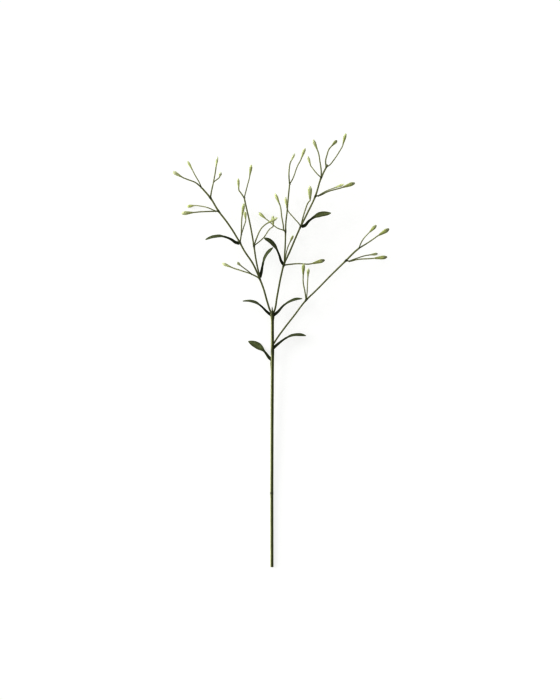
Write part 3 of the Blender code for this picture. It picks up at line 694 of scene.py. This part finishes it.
def bud_tree():
    """Grows a closed bud from its foot to its tip: a calyx of five sepals that part in teeth,
    and the petals rolled round each other inside it."""
    tree, add, given = new_tree("closed_bud", {
        "Foot": "Vector", "Ahead": "Vector", "Length": "Float", "Half width": "Float",
        "Turn": "Float", "Tooth tip": "Float", "Tooth root": "Float", "Wall": "Float",
        "Roll": "Float", "Ripe": "Float", "Blunt": "Float",
        "Sepal skin": "Material", "Petal skin": "Material"})
    layers = []
    for layer, rows in (("calyx", CALYX_ROWS), ("petals", PETAL_ROWS)):
        grid = add("GeometryNodeMeshGrid", {"Vertices X": BUD_SIDES + 1, "Vertices Y": rows})
        place = add("GeometryNodeInputPosition")
        apart = add("ShaderNodeSeparateXYZ", {"Vector": place}).outputs
        across = add(MATH, {0: apart["X"], 1: 0.5}, operation="ADD")
        up = add(MATH, {0: apart["Y"], 1: 0.5}, operation="ADD")
        # 0 on a sepal's middle line and 1 on the seam between two
        shares = add(MATH, {0: across, 1: float(SEPALS)}, operation="MULTIPLY")
        within = add(MATH, {0: shares}, operation="FRACT")
        centred = add(MATH, {0: within, 1: 2.0, 2: -1.0}, operation="MULTIPLY_ADD")
        seam = add(MATH, {0: centred}, operation="ABSOLUTE")
        poles = add(
            "ShaderNodeFloatCurve", {"Value": up},
            points=((0.0, 0.0), (0.012, 1.0), (0.988, 1.0), (1.0, 0.0)), handles="VECTOR")
        wound = given["Turn"]
        if layer == "calyx":
            # Up the outside to the edge of the teeth, over it, and down inside the wall
            climb, inner = (
                add("ShaderNodeFloatCurve", {"Value": up}, points=points, handles="VECTOR")
                for points in (((0.0, 0.0), (0.76, 1.0), (0.79, 1.0), (1.0, 0.62)),
                               ((0.0, 0.0), (0.755, 0.0), (0.795, 1.0), (1.0, 1.0))))
            sharp = add(MATH, {0: seam, 1: 0.8}, operation="POWER")
            drop = add(MATH, {0: given["Tooth root"], 1: given["Tooth tip"]}, operation="SUBTRACT")
            edge = add(MATH, {0: sharp, 1: drop, 2: given["Tooth tip"]}, operation="MULTIPLY_ADD")
            rise = add(MATH, {0: climb, 1: edge}, operation="MULTIPLY")
            groove = add(MATH, {0: seam, 1: 4.0}, operation="POWER")
            lobe = add(MATH, {0: groove, 1: -0.10, 2: 1.02}, operation="MULTIPLY_ADD")
            inset = add(MATH, {0: inner, 1: given["Wall"]}, operation="MULTIPLY")
        else:
            rise = add("ShaderNodeMapRange", {"Value": up, "To Min": PETAL_FOOT})
            # Each petal's edge stands a little out of the next one's
            lobe = add(MATH, {0: within, 1: -0.16, 2: 0.97}, operation="MULTIPLY_ADD")
            inset = add(MATH, {0: given["Wall"], 1: 0.6}, operation="MULTIPLY")
            wound = add(MATH, {0: up, 1: given["Roll"], 2: wound}, operation="MULTIPLY_ADD")
        outline = add("ShaderNodeFloatCurve", {"Value": rise}, points=BUD_OUTLINE)
        wide = add(MATH, {0: outline, 1: given["Half width"]}, operation="MULTIPLY")
        lobed = add(MATH, {0: wide, 1: lobe}, operation="MULTIPLY")
        thinned = add(MATH, {0: lobed, 1: inset}, operation="SUBTRACT")
        walled = add(MATH, {0: thinned, 1: 0.1 * MM}, operation="MAXIMUM")
        radius = add(MATH, {0: walled, 1: poles}, operation="MULTIPLY")
        angle = add(MATH, {0: across, 1: 2 * math.pi, 2: wound}, operation="MULTIPLY_ADD")
        height = add(MATH, {0: rise, 1: given["Length"]}, operation="MULTIPLY")
        where = add("ShaderNodeCombineXYZ", {"Z": height})
        for axis, turn in (("X", "COSINE"), ("Y", "SINE")):
            swing = add(MATH, {0: angle}, operation=turn)
            feed(where, {axis: add(MATH, {0: swing, 1: radius}, operation="MULTIPLY")})
        kept = grid.outputs["Mesh"]
        # A bud's paleness is partly ripeness and partly painted light, and its tip shade is
        # painted shade
        for label, value in (("rise", rise), ("seam", seam), ("ripe", given["Ripe"]),
                             ("blunt", given["Blunt"])):
            kept = add("GeometryNodeStoreNamedAttribute", {
                "Geometry": kept, "Name": label, "Value": value})
        shaped = add("GeometryNodeSetPosition", {"Geometry": kept, "Position": where})
        closed = add("GeometryNodeMergeByDistance", {"Geometry": shaped, "Distance": 0.002 * MM})
        skin = given["Sepal skin" if layer == "calyx" else "Petal skin"]
        layers.append(add("GeometryNodeSetMaterial", {"Geometry": closed, "Material": skin}))
    both = add("GeometryNodeJoinGeometry")
    for made in layers:
        feed(both, {"Geometry": made})
    turned = add("FunctionNodeAlignRotationToVector", {"Vector": given["Ahead"]}, axis="Z")
    placed = add("GeometryNodeTransform", {
        "Geometry": both, "Translation": given["Foot"], "Rotation": turned})
    end_tree(add, placed)
    return tree


# Pieces


def grow_tube(name, route, girths, tree, values):
    """A closed tube along a route, with its radius at each point in millimetres."""
    line = bpy.data.meshes.new(name)
    line.from_pydata(route, [(i, i + 1) for i in range(len(route) - 1)], [])
    store(line, "girth", [girth * MM for girth in girths])
    return grow(name, line, tree, values)


def fuse(piece, others):
    """Join closed bodies that stand in each other into one, and remove the others."""
    group = bpy.data.collections.new(piece.name + "_group")
    SCENE.collection.children.link(group)
    for other in others:
        group.objects.link(other)
        SCENE.collection.objects.unlink(other)
    union = piece.modifiers.new("fuse", "BOOLEAN")
    union.operation = "UNION"
    union.operand_type = "COLLECTION"
    union.collection = group
    union.solver = "MANIFOLD"
    mesh = settled(piece)
    piece.modifiers.clear()
    piece.data = mesh
    for other in others:
        bpy.data.objects.remove(other)
    bpy.data.collections.remove(group)


def soften(piece, places, reach, rounds):
    """Round off the creases of a piece within reach of the places, in millimetres."""
    bm = bmesh.new()
    bm.from_mesh(piece.data)
    near = [v for v in bm.verts if min((v.co - place).length for place in places) < reach * MM]
    for _ in range(rounds):
        bmesh.ops.smooth_vert(
            bm, verts=near, factor=0.5, use_axis_x=True, use_axis_y=True, use_axis_z=True)
    bm.normal_update()
    bm.to_mesh(piece.data)
    bm.free()
    piece.data.shade_smooth()


def mark(piece, names, marks):
    """Give each vertex the values of the nearest marked place, under those attribute names."""
    tree = KDTree(len(marks))
    for i, (place, _) in enumerate(marks):
        tree.insert(place, i)
    tree.balance()
    found = [marks[tree.find(v.co)[1]][1] for v in piece.data.vertices]
    for name, values in zip(names, zip(*found)):
        store(piece.data, name, values)


def dress(piece, nodes):
    """Put a finished piece on the part's one body, in place of its nodes. Points that a ripple
    pushed below the surface go back onto it."""
    for vertex in piece.data.vertices:
        vertex.co.z = max(vertex.co.z, 0.0)
    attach(piece, "root")
    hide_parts(*nodes)


def make_main_stem(tubes, skin, pith):
    """The stem from its cut end to the spur in the fork, with the low left leaf's sheath."""
    ys = [row[1] for row in MAIN_STEM]
    run = np.arange(0.0, ys[-1] + 0.5, 1.0)
    smoothed = []
    # The axis is rounded off over 12 mm to each side, and the steps in its radius over 2
    for k, spread in ((0, 12), (2, 12), (3, 2)):
        column = np.interp(run, ys, [row[k] for row in MAIN_STEM])
        padded = np.pad(column, spread, mode="reflect", reflect_type="odd")
        window = np.ones(2 * spread + 1) / (2 * spread + 1)
        smoothed.append(np.convolve(padded, window, mode="valid"))
    xs, zs, girths = smoothed
    route = [at(point) for point in zip(xs, run, zs)]
    values = {"Sides": 40, "Ribs": 9.0, "Rib depth": 0.018, "Wander": 0.18 * MM,
              "Wander size": 90.0, "Skin": skin}
    stem = grow_tube("stem", route, girths, tubes, values)
    ridge = smooth_route(SHEATH, 1.0)
    thin = SHEATH_RADIUS * (1 - SHEATH_TAPER * np.linspace(0.0, 1.0, len(ridge)))
    sheath = grow_tube("sheath", ridge, thin, tubes, {**values, "Sides": 14, "Rib depth": 0.0})
    fuse(stem, [sheath])
    soften(stem, ridge, reach=1.6, rounds=3)
    dark = sum(a * np.exp(-(((run - c) / w) ** 2)) for c, w, a in STEM_KNOTS)
    mark(stem, ["knot"], [(place, [share]) for place, share in zip(route, dark)])
    open_cut(stem, pith)
    dress(stem, ["main_stem"])


def open_cut(stem, pith):
    """Turn the flat cut end into a rind, a shallow step and pale pith."""
    stem.data.materials.append(pith)
    bm = bmesh.new()
    bm.from_mesh(stem.data)
    ends = [face for face in bm.faces if face.normal.y < -0.9 and face.calc_center_median().y
            < ORIGIN.y + 0.3 * MM]
    bmesh.ops.dissolve_faces(bm, faces=ends)
    cap = min(bm.faces, key=lambda face: face.calc_center_median().y)
    for width, depth in CUT_RINGS:
        bmesh.ops.inset_region(
            bm, faces=[cap], thickness=width * MM, depth=depth * MM, use_even_offset=True)
        cap.material_index = 1
    bmesh.ops.triangulate(bm, faces=[cap])
    bm.to_mesh(stem.data)
    bm.free()


def grow_branch(name, branch, tubes, skin):
    """A branch with its knots and its stalks in one body, its axis, and the route of each
    stalk."""
    axis = smooth_route(branch["axis"], 1.2)
    run = run_along(axis)
    knots = [at(branch["axis"][i]) for i in branch["knots"]]
    girths = []
    marks = []
    for place, distance in zip(axis, run):
        share = distance / run[-1]
        nearness = [(place - knot).length / (KNOT_LENGTH * MM) for knot in knots]
        swelling = sum(math.exp(-(near**2)) for near in nearness)
        girths.append(np.interp(share, (0, 0.5, 1), branch["radii"]) + KNOT_SWELLING * swelling)
        # A knot's dark skin reaches two thirds as far as its swelling
        dark = math.exp(-((min(nearness) * 1.5) ** 2))
        marks.append((place, (dark, YOUNG_AT_AXIS_END * share)))
    values = {"Sides": 20, "Ribs": 5.0, "Rib depth": 0.03, "Wander": 0.12 * MM,
              "Wander size": 160.0, "Skin": skin}
    body = grow_tube("branch_" + name + "_grown", axis, girths, tubes, values)
    stalks = []
    routes = []
    for label, points in branch["stalks"].items():
        foot, tip, _ = bud_ends(f"bud_{name}_{label}")
        ahead = (tip - foot).normalized()
        foot = foot - ahead * GAP * MM
        neck = foot - ahead * STALK_CUP_LENGTH * MM
        route = smooth_route([*points, neck], 1.0, ahead)
        run = run_along(route)
        root = STALK_ROOT_RADIUS if label.endswith("a") else SIDE_STALK_RADIUS
        end = min(root, STALK_END_RADIUS)
        girths = []
        for place, distance in zip(route, run):
            flare = STALK_FLARE * math.exp(-distance / (STALK_FLARE_LENGTH * MM))
            girths.append(np.interp(distance / run[-1], (0, 0.5, 1), (root, end, end)) + flare)
            dark = ROOT_DARKNESS * math.exp(-((distance / (ROOT_DARK_LENGTH * MM)) ** 2))
            marks.append((place, (dark, min(1.0, distance / (YOUNG_FROM * MM)))))
        # The cup below the bud widens from the neck and closes under the bud's foot
        for share in (0.35, 0.7, 1.0):
            route.append(neck.lerp(foot, share))
            girths.append(end + (STALK_CUP_RADIUS - end) * share**1.5)
        route.append(foot + ahead * STALK_CUP_RIM * MM)
        girths.append(STALK_CUP_RADIUS * 0.8)
        marks += [(place, (0.0, 1.0)) for place in route[-4:]]
        stalks.append(grow_tube(
            f"{name}_{label}", route, girths, tubes, {**values, "Sides": 14, "Ribs": 4.0}))
        routes.append(route)
    fuse(body, stalks)
    soften(body, knots + [route[0] for route in routes], reach=2.4, rounds=4)
    mark(body, ("knot", "reach"), marks)
    return body, axis, routes


def add_bracts(body, axis, routes, tree, skin):
    """Sink a small scale in the branch below the root of each stalk."""
    ways = directions(axis)
    places = []
    turns = {"growth": [], "outward": []}
    for route in routes:
        nearest = min(range(len(axis)), key=lambda i: (axis[i] - route[0]).length)
        along = ways[nearest]
        leaving = (route[min(4, len(route) - 1)] - route[0]).normalized()
        out = (leaving - along * leaving.dot(along)).normalized()
        places.append(route[0] - along * BRACT_DROP * MM + out * BRACT_SEAT * MM)
        turns["growth"].extend((along * 0.75 + out * 0.55).normalized())
        turns["outward"].extend((out - along * 0.6).normalized())
    mesh = bpy.data.meshes.new("bract_points")
    mesh.from_pydata(places, [], [])
    for label, vectors in turns.items():
        store(mesh, label, vectors, "FLOAT_VECTOR")
    bracts = grow("bracts", mesh, tree, {"Length": BRACT_LENGTH * MM, "Skin": skin})
    for label, value in (("knot", 0.45), ("reach", 0.3)):
        store(bracts.data, label, [value] * len(bracts.data.vertices))
    bpy.ops.object.select_all(action="DESELECT")
    for thing in (body, bracts):
        thing.select_set(True)
    bpy.context.view_layer.objects.active = body
    bpy.ops.object.join()


def leaf_section(t):
    """Half width, thickness and margin rise of a leaf at a share of its length, and how much
    of it is blade."""
    root_half = LEAF_ROOT_WIDTH / 2
    stalk_half = LEAF_STALK_WIDTH / 2
    blade_half = LEAF_BLADE_WIDTH / 2
    tip_half = LEAF_TIP_WIDTH / 2
    if t < LEAF_WIDENS_FROM:
        share = 0.0
        half = root_half + (stalk_half - root_half) * t / LEAF_WIDENS_FROM
    elif t < LEAF_WIDEST_AT:
        share = (t - LEAF_WIDENS_FROM) / (LEAF_WIDEST_AT - LEAF_WIDENS_FROM)
        share = share * share * (3 - 2 * share)
        half = stalk_half + (blade_half - stalk_half) * share
    else:
        share = 1.0
        fall = (t - LEAF_WIDEST_AT) / (1 - LEAF_WIDEST_AT)
        half = tip_half + (blade_half - tip_half) * (1 - fall**LEAF_POINT_CURVE)
    thick = LEAF_STALK_THICKNESS + (LEAF_BLADE_THICKNESS - LEAF_STALK_THICKNESS) * share
    full = half / blade_half
    rise = LEAF_CHANNEL * full + LEAF_STALK_CHANNEL * (1 - full)
    return half, thick, rise, share


def make_leaf(name, sun, rolls, midrib, dice, skin):
    """A leaf as one closed skin: a channelled stalk, and a blade with a groove above its midrib,
    a ridge below it and gently waved margins."""
    route = smooth_route(midrib, 0.5)
    for place in route:
        place.z = max(place.z, REST * MM)
    run = run_along(route)
    ways = directions(route)
    buried = next(i for i, distance in enumerate(run) if distance > LEAF_BURIED * MM)
    columns = [
        math.sin(math.pi / 2 * (k / LEAF_COLUMNS - 1)) for k in range(2 * LEAF_COLUMNS + 1)]
    phase = dice.uniform(0, 2 * math.pi)
    points = []
    notes = []
    for i in range(buried, len(route)):
        t = run[i] / run[-1]
        half, thick, rise, blade = leaf_section(t)
        turn = math.radians(np.interp(t, (LEAF_WIDENS_FROM, LEAF_ROLLED_BY, 1), rolls))
        side = UP.cross(ways[i]).normalized()
        top = ways[i].cross(side)
        across = side * math.cos(turn) + top * math.sin(turn)
        face = ways[i].cross(across)
        upper = []
        lower = []
        for u in columns:
            body = LEAF_MARGIN_THICKNESS + (thick - LEAF_MARGIN_THICKNESS) * math.sqrt(1 - u * u)
            # Each margin is waved along its length, one a little ahead of the other
            wave = math.sin(15 * t + phase + (1.3 if u > 0 else 0)) * abs(u) ** 3
            lift = rise * abs(u) ** 2.2 + LEAF_WAVE * wave * blade
            x = u * half
            # The midrib thins out in the last third of the leaf
            rib = math.exp(-((x / MIDRIB_HALF_WIDTH) ** 2)) * blade * min(1.0, 3.2 * (1 - t))
            middle = route[i] + across * x * MM
            upper.append(middle + face * (lift + body / 2 - MIDRIB_GROOVE * rib) * MM)
            low = middle + face * (lift - body / 2 - MIDRIB_RIDGE * rib) * MM
            low.z = max(low.z, LEAF_CLEARANCE * MM)
            lower.append(low)
        points += upper + lower[::-1]
        for u in columns + columns[::-1]:
            dark = max(abs(u) ** 6, 1 - min(1.0, blade * 1.2))
            notes.append((u, t, dark, math.exp(-((u * half / MIDRIB_LINE) ** 2)) * blade, sun))
    size = 2 * len(columns)
    last = len(points) - size
    faces = []
    for j in range(0, last, size):
        for k in range(size):
            m = (k + 1) % size
            faces.append((j + k, j + size + k, j + size + m, j + m))
    faces.append(list(range(size)))
    faces.append(list(range(last + size - 1, last - 1, -1)))
    mesh = bpy.data.meshes.new(name)
    mesh.from_pydata(points, [], faces)
    # Margins, midrib, and each leaf's share of painted sunlight on its face
    for k, label in ((2, "margin"), (3, "midrib"), (4, "sun")):
        store(mesh, label, [note[k] for note in notes])
    blade_map = mesh.uv_layers.new(name="blade")
    for loop in mesh.loops:
        u, t = notes[loop.vertex_index][:2]
        blade_map.data[loop.index].uv = (u / 2 + 0.5, t)
    mesh.materials.append(skin)
    mesh.shade_smooth()
    dress(show("leaf_" + name + "_grown", mesh), ["leaf_" + name])


def make_buds(tree, sepal, petal):
    """One closed bud in the place of each bud's solid, each turned and opened a little its own
    way."""
    dice = random.Random(11)
    for branch, parts in BRANCHES.items():
        for label in parts["stalks"]:
            name = f"{branch}_{label}"
            node = "bud_" + name
            foot, tip, half = bud_ends(node)
            values = {
                "Foot": tuple(foot), "Ahead": tuple((tip - foot).normalized()),
                "Length": (tip - foot).length, "Half width": half,
                "Turn": dice.uniform(0, 2 * math.pi), "Tooth tip": dice.uniform(0.76, 0.84),
                "Tooth root": dice.uniform(0.6, 0.66), "Wall": SEPAL_THICKNESS * MM,
                "Roll": dice.uniform(1.2, 1.8), "Ripe": RIPE_AND_LIT.get(name, 0.5),
                "Blunt": PAINTED_TIP_SHADE.get(name, 0.0), "Sepal skin": sepal, "Petal skin": petal}
            bud = grow(node + "_grown", bpy.data.meshes.new(node), tree, values)
            dress(bud, [node])


def set_studio():
    """A pale floor, a soft key light from the upper left, soft light from above, and the camera
    straight over the stem."""
    reach = FLOOR_REACH * MM
    corners = [(-reach, -reach), (reach, -reach), (reach, reach), (-reach, reach)]
    floor = bpy.data.meshes.new("floor")
    floor.from_pydata([(x, y, -FLOOR_DROP * MM) for x, y in corners], [], [(0, 1, 2, 3)])
    # Opal acrylic with a faint glow of its own, which takes the edge off every shadow
    sheet, _, shader, _ = new_material("opal_acrylic_sheet", 0.9, 0.1)
    feed(shader, {
        "Base Color": linear("#8b8b8a"), "Emission Color": WHITE, "Emission Strength": 0.77})
    floor.materials.append(sheet)
    show("floor", floor)

    world = bpy.data.worlds.new("studio")
    world.use_nodes = True
    feed(world.node_tree.nodes["Background"], {"Color": WHITE, "Strength": 0.35})
    SCENE.world = world
    for name, (strength, spread, towards) in LIGHTS.items():
        light = bpy.data.lights.new(name, "SUN")
        light.energy = strength
        light.angle = math.radians(spread)
        show(name, light).rotation_euler = Vector(towards).to_track_quat("-Z", "Y").to_euler()

    eye = bpy.data.cameras.new("camera")
    eye.sensor_width = 36.0
    eye.lens = CAMERA_LENS
    eye.clip_end = 50.0
    camera = show("camera", eye)
    camera.location = at(CAMERA_PLACE)
    SCENE.camera = camera
    SCENE.view_settings.view_transform = "Standard"
    SCENE.view_settings.gamma = VIEW_GAMMA


def main():
    set_studio()
    stalk_skin = fine_stalk()
    tubes = tube_tree()
    bracts = bract_tree()
    make_main_stem(tubes, waxy_stem(), fresh_pith())
    for name, branch in BRANCHES.items():
        body, axis, routes = grow_branch(name, branch, tubes, stalk_skin)
        add_bracts(body, axis, routes, bracts, stalk_skin)
        dress(body, ["branch_" + name])
    leaf_skin = leaf_cuticle()
    dice = random.Random(5)
    for name, (sun, rolls, midrib) in LEAVES.items():
        make_leaf(name, sun, rolls, midrib, dice, leaf_skin)
    make_buds(bud_tree(), sepal_flesh(), petal_flesh())


main()
